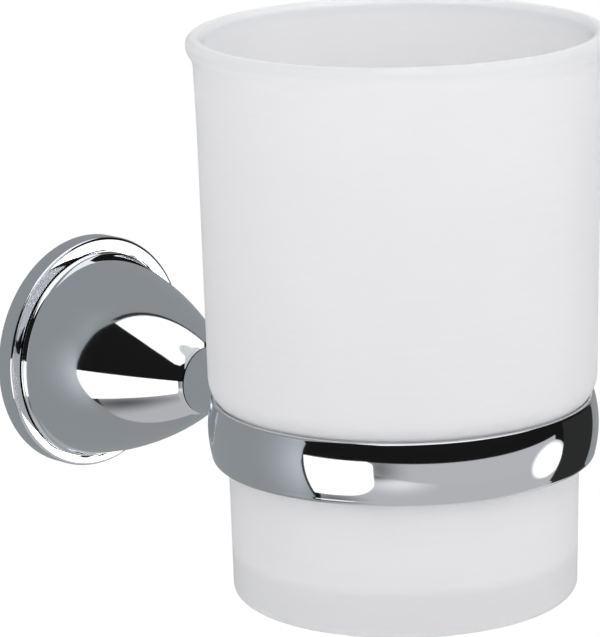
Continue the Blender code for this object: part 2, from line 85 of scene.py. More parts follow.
# Soda-lime glass, pressed in a mould and acid-etched all over, which gives a white, silky
# surface that lets light through and shows nothing behind it.
def makeEtchedGlass():
    look = {
        "wall": "#FAFAFC",
        # painted shade: this colour greys the band round the thick floor
        "floor": "#EFEFF1",
        "floorMm": 8.3,
        "blendMm": 1.4,
        # painted shade: this colour greys the band round the rim
        "lip": "#F3F4F6",
        "lipShadeMm": 2.4,
        "lipShadeBlendMm": 1.0,
        # painted highlight: this colour whitens the bead where it faces up
        "crown": "#FFFFFF",
        "crownHighlightFrom": 0.84,
        "crownHighlightTo": 0.98,
        "streakMm": (14, 14, 0.7),
        "streakFrom": 0.3,
        "streakTo": 0.7,
        "streakDark": 0.982,
        "grainMm": 0.35,
        "grainDepthMm": 0.006,
        "grainStrength": 0.6,
    }
    sockets = {
        "Roughness": 0.52,
        "IOR": 1.52,
        "Transmission Weight": 0.42,
        "Subsurface Weight": 0.35,
        "Subsurface Radius": (1.0, 1.0, 1.0),
        "Subsurface Scale": 1.5 * mm,
    }
    material, tree, shader = newMaterial("acidEtchedGlass", sockets)
    coords = addNode(tree, "ShaderNodeTexCoord")
    # painted shade: the thick floor lets less light through than the wall, so its band is painted greyer
    place = addNode(tree, "ShaderNodeSeparateXYZ", {0: coords.outputs["Object"]})
    top = layout["glassFoot"] + look["floorMm"]
    low = (top - look["blendMm"]) * mm
    high = (top + look["blendMm"]) * mm
    rise = addNode(
        tree,
        "ShaderNodeMapRange",
        {"Value": place.outputs["Z"], "From Min": low, "From Max": high},
        interpolation_type="SMOOTHSTEP",
    )
    tint = addNode(
        tree,
        "ShaderNodeMix",
        {
            "Factor": rise.outputs["Result"],
            "A": linearColour(look["floor"]),
            "B": linearColour(look["wall"]),
        },
        data_type="RGBA",
    )
    # painted shade and painted highlight: the lip is painted greyer, and the crown of its bead, which
    # catches the light, is painted whiter where it faces up
    rim = layout["glassFoot"] + layout["glassHeight"] - look["lipShadeMm"]
    low = (rim - look["lipShadeBlendMm"]) * mm
    high = (rim + look["lipShadeBlendMm"]) * mm
    lipShadeMask = addNode(
        tree,
        "ShaderNodeMapRange",
        {"Value": place.outputs["Z"], "From Min": low, "From Max": high},
        interpolation_type="SMOOTHSTEP",
    )
    facing = addNode(tree, "ShaderNodeNewGeometry")
    up = addNode(tree, "ShaderNodeSeparateXYZ", {0: facing.outputs["Normal"]})
    # painted highlight: whiter where the bead's surface points up
    crown = addNode(
        tree,
        "ShaderNodeMapRange",
        {"Value": up.outputs["Z"], "From Min": look["crownHighlightFrom"], "From Max": look["crownHighlightTo"]},
        interpolation_type="SMOOTHSTEP",
    )
    lipShadeAndHighlight = addNode(
        tree,
        "ShaderNodeMix",
        {
            "Factor": crown.outputs["Result"],
            "A": linearColour(look["lip"]),
            "B": linearColour(look["crown"]),
        },
        data_type="RGBA",
    )
    colour = addNode(
        tree,
        "ShaderNodeMix",
        {
            "Factor": lipShadeMask.outputs["Result"],
            "A": tint.outputs["Result"],
            "B": lipShadeAndHighlight.outputs["Result"],
        },
        data_type="RGBA",
    )
    # the acid drains off in faint level streaks
    stretch = addNode(
        tree,
        "ShaderNodeVectorMath",
        {0: coords.outputs["Object"], 1: [1 / (size * mm) for size in look["streakMm"]]},
        operation="MULTIPLY",
    )
    streak = addNode(
        tree,
        "ShaderNodeTexNoise",
        {"Vector": stretch.outputs["Vector"], "Scale": 1.0, "Detail": 3.0},
    )
    fade = addNode(
        tree,
        "ShaderNodeMapRange",
        {
            "Value": streak.outputs["Fac"],
            "From Min": look["streakFrom"],
            "From Max": look["streakTo"],
            "To Min": look["streakDark"],
            "To Max": 1.0,
        },
    )
    streaked = addNode(
        tree,
        "ShaderNodeVectorMath",
        {0: colour.outputs["Result"], "Scale": fade.outputs["Result"]},
        operation="SCALE",
    )
    tree.links.new(streaked.outputs["Vector"], shader.inputs["Base Color"])
    # the etch itself is finer than a tenth of a millimetre, so it is drawn coarser to show
    grain = addNode(
        tree,
        "ShaderNodeTexNoise",
        {"Vector": coords.outputs["Object"], "Scale": 1 / (look["grainMm"] * mm), "Detail": 3.0},
    )
    depth = look["grainDepthMm"] * mm
    bump = addNode(
        tree,
        "ShaderNodeBump",
        {"Height": grain.outputs["Fac"], "Distance": depth, "Strength": look["grainStrength"]},
    )
    tree.links.new(bump.outputs["Normal"], shader.inputs["Normal"])
    return material


# Brass, polished and chromium plated, which mirrors what stands round it almost without blur.
def makeChrome():
    look = {"colour": "#E4E6EA", "hazeMm": 9, "hazeFrom": 0.035, "hazeTo": 0.06}
    sockets = {"Base Color": linearColour(look["colour"]), "Metallic": 1.0}
    material, tree, shader = newMaterial("polishedChromePlate", sockets)
    coords = addNode(tree, "ShaderNodeTexCoord")
    # polishing leaves the gloss very slightly uneven
    haze = addNode(
        tree,
        "ShaderNodeTexNoise",
        {"Vector": coords.outputs["Object"], "Scale": 1 / (look["hazeMm"] * mm), "Detail": 2.0},
    )
    spread = addNode(
        tree,
        "ShaderNodeMapRange",
        {"Value": haze.outputs["Fac"], "To Min": look["hazeFrom"], "To Max": look["hazeTo"]},
    )
    tree.links.new(spread.outputs["Result"], shader.inputs["Roughness"])
    return material


# Pressed steel with bright zinc plate, which is greyer and duller and has a fine cloudy spangle.
def makeZinc():
    look = {"dark": "#A4A8AC", "light": "#C3C6CA", "cloudMm": 2.2, "glossiest": 0.28, "dullest": 0.45}
    material, tree, shader = newMaterial("brightZincPlate", {"Metallic": 1.0})
    coords = addNode(tree, "ShaderNodeTexCoord")
    cloud = addNode(
        tree,
        "ShaderNodeTexVoronoi",
        {"Vector": coords.outputs["Object"], "Scale": 1 / (look["cloudMm"] * mm)},
        feature="SMOOTH_F1",
    )
    spread = addNode(
        tree,
        "ShaderNodeMapRange",
        {"Value": cloud.outputs["Distance"], "To Min": look["glossiest"], "To Max": look["dullest"]},
    )
    tint = addNode(
        tree,
        "ShaderNodeMix",
        {
            "Factor": cloud.outputs["Distance"],
            "A": linearColour(look["dark"]),
            "B": linearColour(look["light"]),
        },
        data_type="RGBA",
    )
    tree.links.new(tint.outputs["Result"], shader.inputs["Base Color"])
    tree.links.new(spread.outputs["Result"], shader.inputs["Roughness"])
    return material


# Turned and plated steel, for the screws, bolt and washer, with the fine grain in its gloss that
# tool marks under the plating leave.
def makePlatedSteel():
    look = {"colour": "#B9BCC0", "grainMm": 0.25, "glossiest": 0.22, "dullest": 0.38}
    sockets = {"Base Color": linearColour(look["colour"]), "Metallic": 1.0}
    material, tree, shader = newMaterial("platedTurnedSteel", sockets)
    coords = addNode(tree, "ShaderNodeTexCoord")
    grain = addNode(
        tree,
        "ShaderNodeTexNoise",
        {"Vector": coords.outputs["Object"], "Scale": 1 / (look["grainMm"] * mm), "Detail": 2.0},
    )
    spread = addNode(
        tree,
        "ShaderNodeMapRange",
        {"Value": grain.outputs["Fac"], "To Min": look["glossiest"], "To Max": look["dullest"]},
    )
    tree.links.new(spread.outputs["Result"], shader.inputs["Roughness"])
    return material


# Moulded grey nylon, slightly waxy, with a faint mottle.
def makeNylon():
    look = {
        "dark": "#8E8B84",
        "light": "#A09D96",
        "mottleMm": 3.0,
        "grainMm": 0.4,
        "grainDepthMm": 0.01,
    }
    material, tree, shader = newMaterial("mouldedGreyNylon", {"Roughness": 0.5, "IOR": 1.53})
    coords = addNode(tree, "ShaderNodeTexCoord")
    mottle = addNode(
        tree,
        "ShaderNodeTexNoise",
        {"Vector": coords.outputs["Object"], "Scale": 1 / (look["mottleMm"] * mm), "Detail": 3.0},
    )
    tint = addNode(
        tree,
        "ShaderNodeMix",
        {
            "Factor": mottle.outputs["Fac"],
            "A": linearColour(look["dark"]),
            "B": linearColour(look["light"]),
        },
        data_type="RGBA",
    )
    grain = addNode(
        tree,
        "ShaderNodeTexNoise",
        {"Vector": coords.outputs["Object"], "Scale": 1 / (look["grainMm"] * mm)},
    )
    bump = addNode(
        tree,
        "ShaderNodeBump",
        {"Height": grain.outputs["Fac"], "Distance": look["grainDepthMm"] * mm},
    )
    tree.links.new(tint.outputs["Result"], shader.inputs["Base Color"])
    tree.links.new(bump.outputs["Normal"], shader.inputs["Normal"])
    return material


etchedGlass = makeEtchedGlass()
chromePlate = makeChrome()
zincPlate = makeZinc()
platedSteel = makePlatedSteel()
greyNylon = makeNylon()
print("materials made")


# Points of an arc, by its angles in degrees.
def arcPoints(centre, radius, start, end, steps):
    turns = [math.radians(start + (end - start) * i / steps) for i in range(steps + 1)]
    return [(centre[0] + radius * math.cos(t), centre[1] + radius * math.sin(t)) for t in turns]


# Points on a curve from start to end, which bows out to its right by bulge at the middle.
def bowedPoints(start, end, bulge, steps):
    along = (end[0] - start[0], end[1] - start[1])
    length = math.hypot(*along)
    out = (along[1] / length, -along[0] / length)
    points = []
    for i in range(steps + 1):
        t = i / steps
        lift = bulge * 4 * t * (1 - t)
        x = start[0] + along[0] * t + out[0] * lift
        y = start[1] + along[1] * t + out[1] * lift
        points.append((x, y))
    return points


# Points of an arc that draws in by width over its reach: how far in, how far along.
def drawnIn(reach, width, steps):
    radius = (reach**2 + width**2) / (2 * width)
    full = math.asin(reach / radius)
    turns = [full * i / steps for i in range(1, steps + 1)]
    return [(radius * (1 - math.cos(t)), radius * math.sin(t)) for t in turns]


def addInputs(tree, inputs):
    for name, kind in inputs:
        tree.interface.new_socket(name, in_out="INPUT", socket_type="NodeSocket" + kind)
    tree.interface.new_socket("Shape", in_out="OUTPUT", socket_type="NodeSocketGeometry")
    tree.is_modifier = True


def endTree(tree, shape, inputs):
    real = addNode(tree, "GeometryNodeRealizeInstances", {"Geometry": shape})
    coated = addNode(
        tree, "GeometryNodeSetMaterial", {"Geometry": real.outputs[0], "Material": inputs["Material"]}
    )
    addNode(tree, "NodeGroupOutput", {"Shape": coated.outputs[0]})


# Turns an outline of (radius, height) points about Z: each column of a grid is the outline,
# carried round by its share of a full turn, and the seam and poles are welded.
def makeTurnTree():
    tree = bpy.data.node_groups.new("turnedShape", "GeometryNodeTree")
    addInputs(
        tree, [("Outline", "Geometry"), ("Segments", "Int"), ("Weld", "Float"), ("Material", "Material")]
    )
    inputs = addNode(tree, "NodeGroupInput").outputs
    size = addNode(tree, "GeometryNodeAttributeDomainSize", {"Geometry": inputs["Outline"]})
    columns = addNode(
        tree, "FunctionNodeIntegerMath", {0: inputs["Segments"], 1: 1}, operation="ADD"
    ).outputs[0]
    grid = addNode(
        tree,
        "GeometryNodeMeshGrid",
        {"Vertices X": size.outputs["Point Count"], "Vertices Y": columns},
    )
    index = addNode(tree, "GeometryNodeInputIndex").outputs[0]
    row = addNode(tree, "FunctionNodeIntegerMath", {0: index, 1: columns}, operation="DIVIDE")
    column = addNode(tree, "FunctionNodeIntegerMath", {0: index, 1: columns}, operation="MODULO")
    spot = addNode(tree, "GeometryNodeInputPosition").outputs[0]
    point = addNode(
        tree,
        "GeometryNodeSampleIndex",
        {"Geometry": inputs["Outline"], "Index": row.outputs[0]},
        data_type="FLOAT_VECTOR",
    )
    tree.links.new(spot, point.inputs["Value"])
    share = addNode(
        tree, "ShaderNodeMath", {0: column.outputs[0], 1: inputs["Segments"]}, operation="DIVIDE"
    )
    angle = addNode(tree, "ShaderNodeMath", {0: share.outputs[0], 1: math.tau}, operation="MULTIPLY")
    turnedPoint = addNode(
        tree,
        "ShaderNodeVectorRotate",
        {"Vector": point.outputs[0], "Angle": angle.outputs[0]},
        rotation_type="Z_AXIS",
    )
    moved = addNode(
        tree,
        "GeometryNodeSetPosition",
        {"Geometry": grid.outputs["Mesh"], "Position": turnedPoint.outputs[0]},
    )
    welded = addNode(
        tree, "GeometryNodeMergeByDistance", {"Geometry": moved.outputs[0], "Distance": inputs["Weld"]}
    )
    endTree(tree, welded.outputs[0], inputs)
    return tree


# A screw thread: a ridge of square section, set on its corner, that follows a helix.
def makeThreadTree():
    tree = bpy.data.node_groups.new("screwThread", "GeometryNodeTree")
    addInputs(
        tree,
        [
            ("Start", "Geometry"),
            ("Root Radius", "Float"),
            ("Ridge", "Float"),
            ("Length", "Float"),
            ("Turns", "Float"),
            ("Steps per Turn", "Int"),
            ("Material", "Material"),
        ],
    )
    inputs = addNode(tree, "NodeGroupInput").outputs
    helix = addNode(
        tree,
        "GeometryNodeCurveSpiral",
        {
            "Resolution": inputs["Steps per Turn"],
            "Rotations": inputs["Turns"],
            "Start Radius": inputs["Root Radius"],
            "End Radius": inputs["Root Radius"],
            "Height": inputs["Length"],
        },
    )
    section = addNode(
        tree, "GeometryNodeCurvePrimitiveCircle", {"Resolution": 4, "Radius": inputs["Ridge"]}
    )
    ridge = addNode(
        tree,
        "GeometryNodeCurveToMesh",
        {"Curve": helix.outputs[0], "Profile Curve": section.outputs[0], "Fill Caps": True},
    )
    endTree(tree, ridge.outputs[0], inputs)
    return tree


turnTree = makeTurnTree()
threadTree = makeThreadTree()


def pointMesh(name, points):
    mesh = bpy.data.meshes.new(name)
    mesh.from_pydata(points, [(i, i + 1) for i in range(len(points) - 1)], [])
    return mesh


# Runs a tree once on a plain mesh, and gives back what it makes as a plain mesh.
def bakeTree(tree, mesh, values):
    source = bpy.data.objects.new("source", mesh)
    view.active_layer_collection.collection.objects.link(source)
    modifier = source.modifiers.new("shape", "NODES")
    modifier.node_group = tree
    for item in tree.interface.items_tree:
        if item.in_out == "INPUT" and item.name in values:
            modifier[item.identifier] = values[item.name]
    view.update()
    made = bpy.data.meshes.new_from_object(source.evaluated_get(bpy.context.evaluated_depsgraph_get()))
    source.modifiers.remove(modifier)
    bpy.data.objects.remove(source)
    return made


# Six times the volume, and below nothing where the faces point inwards.
def enclosedVolume(mesh):
    mesh.calc_loop_triangles()
    spots = [v.co for v in mesh.vertices]
    triangles = [t.vertices for t in mesh.loop_triangles]
    return sum(spots[a].dot(spots[b].cross(spots[c])) for a, b, c in triangles)


def finishMesh(mesh, sharpAngle=32):
    if enclosedVolume(mesh) < 0:
        mesh.flip_normals()
    mesh.shade_smooth()
    mesh.set_sharp_from_angle(angle=math.radians(sharpAngle))


# An outline turned about Z. A closed one is a loop, and an open one starts and ends on the axis.
def turnedMesh(outline, segments, material, matrix, closed=True):
    points = [(r * mm, 0, z * mm) for r, z in outline]
    if closed and (outline[0][0] > 0 or outline[-1][0] > 0):
        points.append(points[0])
    values = {"Segments": segments, "Weld": making["weld"] * mm, "Material": material}
    made = bakeTree(turnTree, pointMesh("outline", points), values)
    made.transform(matrix)
    finishMesh(made)
    return made


def addPiece(name, mesh, body, nodes):
    piece = bpy.data.objects.new(name, mesh)
    bpy.context.scene.collection.objects.link(piece)
    mesh.name = name
    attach(piece, body)
    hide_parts(*nodes)


# Cuts shapes out of a mesh with one exact Boolean each.
def cutFrom(mesh, cutters):
    piece = bpy.data.objects.new("cutPiece", mesh)
    bpy.context.scene.collection.objects.link(piece)
    tools = []
    for cutter in cutters:
        tool = bpy.data.objects.new("cutter", cutter)
        bpy.context.scene.collection.objects.link(tool)
        step = piece.modifiers.new("cut", "BOOLEAN")
        step.operation = "DIFFERENCE"
        step.solver = "EXACT"
        step.object = tool
        tools.append(tool)
    view.update()
    made = bpy.data.meshes.new_from_object(piece.evaluated_get(bpy.context.evaluated_depsgraph_get()))
    for obj in [piece, *tools]:
        bpy.data.objects.remove(obj)
    # the slivers that a cut leaves are closed up
    work = bmesh.new()
    work.from_mesh(made)
    bmesh.ops.remove_doubles(work, verts=work.verts, dist=making["sliver"] * mm)
    bmesh.ops.dissolve_degenerate(work, edges=work.edges, dist=making["sliver"] * mm)
    work.to_mesh(made)
    work.free()
    finishMesh(made)
    return made


def rodMesh(radius, start, end, segments, material, matrix):
    outline = [(0, start), (radius, start), (radius, end), (0, end)]
    return turnedMesh(outline, segments, material, matrix, closed=False)


def blockMesh(size, matrix):
    x, y, z = (s * mm / 2 for s in size)
    corners = [(i * x, j * y, k * z) for i in (-1, 1) for j in (-1, 1) for k in (-1, 1)]
    sides = [(0, 1, 3, 2), (4, 6, 7, 5), (0, 4, 5, 1), (2, 3, 7, 6), (0, 2, 6, 4), (1, 5, 7, 3)]
    mesh = bpy.data.meshes.new("block")
    mesh.from_pydata(corners, [], sides)
    mesh.transform(matrix)
    return mesh


# The tumbler: radii are of its outside and heights over its foot.
tumbler = {
    "rimRadius": 36.0,
    "lipRound": 1.5,
    "lipOverhang": 1.0,
    "lipEase": 2.8,
    "beadFrom": -15,
    "beadTo": 165,
    "flare": 1.35,
    "flareSteady": 0.7,
    "flarePower": 7,
    "wall": 1.8,
    "shoulderHeight": 39.1,
    "shoulderRound": 5.9,
    "shoulderStep": 3.05,
    "lowerTaper": 0.55,
    "lowerWall": 2.2,
    "floor": 8.5,
    "floorRound": 4.0,
    "footRound": 1.9,
    "footLand": 7.15,
    "hollow": 0.8,
    "segments": 256,
}


def makeTumbler():
    t = tumbler
    body = t["rimRadius"] - t["lipOverhang"] - t["flare"]
    lower = body - t["shoulderStep"]
    foot = lower - t["lowerTaper"]
    centre = (body - t["shoulderRound"], t["shoulderHeight"])
    lipCentre = (t["rimRadius"] - t["lipRound"], layout["glassHeight"] - t["lipRound"])

    def wallRadius(height):
        share = (height - t["shoulderHeight"]) / (lipCentre[1] - t["shoulderHeight"])
        opening = t["flareSteady"] * share + (1 - t["flareSteady"]) * share ** t["flarePower"]
        return body + t["flare"] * opening

    def turnTo(radius, roundRadius):
        return math.degrees(math.acos((radius - centre[0]) / roundRadius))

    bead = arcPoints(lipCentre, t["lipRound"], t["beadFrom"], t["beadTo"], steps=28)
    # the wall swells out into the bead without a crease
    easeFrom = bead[0][1] - t["lipEase"]
    easeSteps = 10
    lip = []
    for i in range(easeSteps):
        share = i / easeSteps
        height = easeFrom + t["lipEase"] * i / easeSteps
        radius = wallRadius(height)
        lip.append((radius + (bead[0][0] - radius) * share * share * (3 - 2 * share), height))
    lip += bead
    rise = easeFrom - t["shoulderHeight"]
    wallSteps = 24
    heights = [t["shoulderHeight"] + rise * i / wallSteps for i in range(1, wallSteps)]
    outside = [(wallRadius(h), h) for h in heights]
    inside = [(r - t["wall"], h) for r, h in reversed(outside)]
    innerTop = lip[-1][1] - t["lipRound"] / 2
    shoulder = arcPoints(centre, t["shoulderRound"], -turnTo(lower, t["shoulderRound"]), 0, steps=14)
    innerRound = t["shoulderRound"] - t["wall"]
    innerTurn = turnTo(lower - t["lowerWall"], innerRound)
    innerShoulder = arcPoints(centre, innerRound, 0, -innerTurn, steps=10)
    footArc = arcPoints((foot - t["footRound"], t["footRound"]), t["footRound"], -90, 0, steps=12)
    innerFoot = foot - t["lowerWall"] - t["floorRound"]
    corner = arcPoints((innerFoot, t["floor"] + t["floorRound"]), t["floorRound"], 0, -90, steps=12)
    hollowRadius = foot - t["footRound"] - t["footLand"]
    hollowSteps = 8
    shares = [i / hollowSteps for i in range(hollowSteps + 1)]
    hollow = [(hollowRadius * s, t["hollow"] * (1 - s**2)) for s in shares]
    outline = [*hollow, *footArc, *shoulder, *outside, *lip]
    outline += [(wallRadius(innerTop) - t["wall"], innerTop), *inside, *innerShoulder, *corner]
    outline.append((0, t["floor"]))
    mesh = turnedMesh(outline, t["segments"], etchedGlass, onGlass(layout["glassFoot"]))
    addPiece("tumblerGlass", mesh, "tumbler", ["tumbler"])


# The ring's section bellies out between its crest and its lower edge.
ring = {
    "bore": 31.1,
    "boreEase": 0.3,
    "seatRise": 1.4,
    "crestWall": 1.1,
    "crestFrom": 14,
    "bellySwell": 0.6,
    "bellyDrop": 5.3,
    "bellyLift": 5.8,
    "lowerDraw": 0.6,
    "bottomRound": 1.0,
    "rise": 0.65,
    "segments": 288,
}
# The neck runs from the bell's nose into the ring, and solid metal is left past the bolt's bore.
neck = {
    "endRadius": 4.4,
    "bulge": 0.5,
    "embed": 0.5,
    "solid": 4.5,
    "fillet": 1.1,
    "filletPower": 2.2,
    "filletPast": 0.6,
    "ringWall": 2.75,
    "edge": 0.15,
    "edgeSet": 0.03,
    "edgeRise": 0.1,
    "segments": 128,
}
# The bell, with the spigot that goes through the disc.
bell = {
    "base": 3.0,
    "length": 29.5,
    "radius": 19.35,
    "bulge": 1.68,
    "lip": 0.6,
    "edge": 0.4,
    "edgeTurn": 60,
    "baseEase": 0.2,
    "wall": 2.2,
    "noseRadius": 6.25,
    "noseWall": 3.0,
    "noseEase": 0.12,
    "spigotStep": 2.45,
    "spigotWall": 2.0,
    "spigotSetback": 1.0,
    "segments": 288,
}
# The bolt clamps the bell's nose to the neck, from inside the bell.
bolt = {
    "radius": 2.5,
    "headRadius": 4.25,
    "headHeight": 5.0,
    "socket": 4.0,
    "socketDepth": 2.6,
    "endRoom": 1.5,
    "edge": 0.3,
    "threadDepth": 0.4,
    "threadFrom": 0.8,
    "threadShort": 1.4,
    "pitch": 0.8,
}
washer = {"thickness": 1.2}
noseDepth = bell["base"] + bell["length"]
neckStart = noseDepth + layout["fitGap"]
neckEnd = layout["armLength"] - ring["bore"] - neck["embed"]
boltHole = bolt["radius"] + layout["fitGap"]
boltBoreEnd = neckEnd - neck["solid"]


def makeRing():
    r = ring
    seatRound = tumbler["shoulderRound"] + layout["fitGap"]
    centre = tumbler["rimRadius"] - tumbler["lipOverhang"] - tumbler["flare"] - tumbler["shoulderRound"]
    top = r["rise"] + (r["bellyDrop"] + r["bellyLift"]) / 2
    bottom = top - r["bellyDrop"] - r["bellyLift"]
    seatLevel = top - r["seatRise"] + math.sqrt(seatRound**2 - (r["bore"] - centre) ** 2)
    crestRound = r["crestWall"] / 2
    crestLevel = top - crestRound
    crestRadius = centre + math.sqrt(seatRound**2 - (seatLevel - crestLevel) ** 2) + crestRound
    bellyLevel = top - r["bellyDrop"]
    belly = crestRadius + crestRound + r["bellySwell"]
    edgeCentre = (belly - r["lowerDraw"] - r["bottomRound"], bottom + r["bottomRound"])
    lower = drawnIn(r["bellyLift"] - r["bottomRound"], r["lowerDraw"], steps=16)
    upper = drawnIn(crestLevel - bellyLevel, r["bellySwell"], steps=16)
    lean = math.degrees(2 * math.atan(r["lowerDraw"] / (r["bellyLift"] - r["bottomRound"])))
    edge = arcPoints(edgeCentre, r["bottomRound"], -90, -lean, steps=10)
    crest = arcPoints((crestRadius, crestLevel), crestRound, r["crestFrom"], 180, steps=14)
    turn = math.degrees(math.asin((seatLevel - crestLevel) / seatRound))
    last = math.degrees(math.acos((r["bore"] - centre) / seatRound))
    seat = arcPoints((centre, seatLevel), seatRound, -turn, -last, steps=10)
    outline = [
        (r["bore"] + r["boreEase"], bottom),
        *edge,
        *[(belly - w, bellyLevel - h) for w, h in reversed(lower)],
        (belly, bellyLevel),
        *[(belly - w, bellyLevel + h) for w, h in upper],
        *crest,
        *seat[1:],
        (r["bore"], bottom + r["boreEase"]),
    ]
    mesh = turnedMesh(outline, r["segments"], chromePlate, onGlass())
    addPiece("ringBand", mesh, "holder", ["holder_ring"])
    print("ring", round(belly, 2), "mm, from", round(bottom, 2), "to", round(top, 2))


def makeNeck():
    n = neck
    nose = bell["noseRadius"]
    # a small braze fillet where the neck runs into the ring
    skin = layout["armLength"] - ring["bore"] - n["ringWall"]
    side = []
    for radius, depth in bowedPoints((nose, neckStart), (n["endRadius"], neckEnd), n["bulge"], steps=40):
        near = max(0.0, 1 - (skin - depth) / n["fillet"])
        if depth < skin + n["filletPast"]:
            radius += n["fillet"] * near ** n["filletPower"]
        side.append((radius, depth))
    outline = [
        (0, boltBoreEnd),
        (boltHole, boltBoreEnd),
        (boltHole, neckStart),
        (nose - n["edge"], neckStart),
        (nose - n["edgeSet"], neckStart + n["edgeRise"]),
        *side[1:],
        (0, neckEnd),
    ]
    mesh = turnedMesh(outline, n["segments"], chromePlate, onArm(), closed=False)
    addPiece("ringNeck", mesh, "holder", ["holder_ring"])


def bellOutside(steps=64):
    start = (bell["radius"] - bell["edge"], bell["base"] + bell["lip"] + bell["edge"])
    return bowedPoints(start, (bell["noseRadius"], noseDepth), bell["bulge"], steps)


def bellRadiusAt(depth):
    points = bellOutside()
    for (r0, d0), (r1, d1) in zip(points, points[1:]):
        if depth <= d1:
            return r0 + (r1 - r0) * (depth - d0) / (d1 - d0)
    return bell["noseRadius"]


# The bracket stands inside the spigot, and the grub screw bears in the groove round it.
bracket = {
    "clearance": 0.8,
    "wall": 1.8,
    "floor": 2.2,
    "grooveDepth": 1.0,
    "grooveSetback": 2.0,
    "screwMargin": 0.8,
    "edge": 0.25,
    "floorRound": 0.8,
    "segments": 160,
}
grub = {
    "rise": 4.6,
    "radius": 2.0,
    "sink": 0.6,
    "tipRadius": 0.4,
    "edge": 0.2,
    "socket": 2.0,
    "socketDepth": 1.5,
}
spigotRadius = bell["radius"] - bell["spigotStep"]
spigotBore = spigotRadius - bell["spigotWall"]
bracketRadius = spigotBore - bracket["clearance"]
grooveLevel = bell["base"] + grub["rise"]
bracketHeight = grooveLevel + bracket["grooveSetback"]
underBell = onArm(grooveLevel) @ alongArm  # along the grub screw, downwards


def makeBell():
    b = bell
    innerNose = noseDepth - b["noseWall"]
    edgeCentre = (b["radius"] - b["edge"], b["base"] + b["lip"])
    outline = [
        (spigotBore, b["spigotSetback"]),
        (spigotRadius, b["spigotSetback"]),
        (spigotRadius, b["base"]),
        (b["radius"] - b["baseEase"], b["base"]),
        (b["radius"], b["base"] + b["baseEase"]),
        *arcPoints(edgeCentre, b["edge"], 0, b["edgeTurn"], steps=6),
        *bellOutside()[1:-1],
        (b["noseRadius"], noseDepth - b["noseEase"]),
        (b["noseRadius"] - b["noseEase"], noseDepth),
        (boltHole, noseDepth),
        (boltHole, innerNose),
        (bellRadiusAt(innerNose) - b["wall"], innerNose),
        (spigotBore, bracketHeight + layout["fitGap"]),
    ]
    mesh = turnedMesh(outline, b["segments"], chromePlate, onArm())
    holeRadius = grub["radius"] + layout["fitGap"]
    holeEnd = b["radius"] + making["cutPast"]
    hole = rodMesh(holeRadius, bracketRadius, holeEnd, 64, chromePlate, underBell)
    addPiece("bellCover", cutFrom(mesh, [hole]), "holder", ["bell_cover"])


# The disc lies on the wall, and the bell's base sits in its face.
disc = {
    "thickness": 3.6,
    "seatDepth": 0.9,
    "margin": 2.3,
    "rise": 0.5,
    "edge": 0.6,
    "softEdge": 0.1,
    "mouthClear": 0.004,
    "sharpAngle": 14,
    "segments": 288,
}


def makeDisc():
    d = disc
    soft = d["softEdge"]
    radius = bell["radius"] + d["margin"]
    seatRadius = bell["radius"] + layout["fitGap"]
    seatLevel = d["thickness"] - d["seatDepth"]
    front = arcPoints((radius - d["edge"], d["thickness"] - d["edge"]), d["edge"], 0, 90, steps=10)
    back = arcPoints((radius - soft, soft), soft, -90, 0, steps=3)
    outline = [(0, 0), *back, *front, (0, d["thickness"])]
    plate = turnedMesh(outline, d["segments"], chromePlate, onArm(rise=d["rise"]), closed=False)
    past = d["thickness"] + making["cutPast"]
    # the seat opens out at its mouth, so that its rim catches the light
    mouthLevel = d["thickness"] - soft + d["mouthClear"]
    mouth = arcPoints((seatRadius + soft, mouthLevel), soft, 90, 180, steps=3)
    seat = [(0, past), (seatRadius + soft, past), *mouth, (seatRadius, seatLevel), (0, seatLevel)]
    recess = turnedMesh(seat, d["segments"], chromePlate, onArm(), closed=False)
    boreRadius = spigotRadius + layout["fitGap"]
    bore = rodMesh(boreRadius, -making["cutPast"], past, d["segments"], chromePlate, onArm())
    mesh = cutFrom(plate, [recess, bore])
    # a sharp line round the seat keeps the flat face's mirror image flat
    finishMesh(mesh, d["sharpAngle"])
    addPiece("flangeDisc", mesh, "holder", ["flange_disc"])


# The wall screws: cross recess, domed head, plain shank and thread. Levels run out of the wall.
screw = {
    "radius": 1.6,
    "length": 16.0,
    "point": 3.0,
    "headRest": 1.2,
    "headHeight": 2.4,
    "headSide": 0.9,
    "headEdge": 0.15,
    "recessWidth": 0.9,
    "recessLength": 4.2,
    "recessDepth": 1.4,
    "recessTurns": (45, 135),
    "shankEnd": -1.0,
    "rootFrom": -1.6,
    "threadDepth": 0.45,
    "threadShort": 4.2,
    "pitch": 1.35,
}
# The plugs, split and toothed behind a plain collar.
plug = {
    "wall": 0.6,
    "length": 16.5,
    "collar": 3.5,
    "teeth": 5,
    "toothFront": 0.125,
    "toothDepth": 0.25,
    "nose": 2.0,
    "noseDraft": 0.7,
    "edge": 0.1,
    "boreRoom": 0.6,
    "slot": 0.8,
}
plugBore = screw["radius"] + layout["fitGap"]
plugRadius = plugBore + plug["wall"]
screwHole = plugRadius + layout["fitGap"]
headRadius = screwHole + screw["headRest"]
screwOffset = bracketRadius - bracket["wall"] - bracket["screwMargin"] - headRadius
screwSeat = bracket["floor"] + layout["fitGap"]


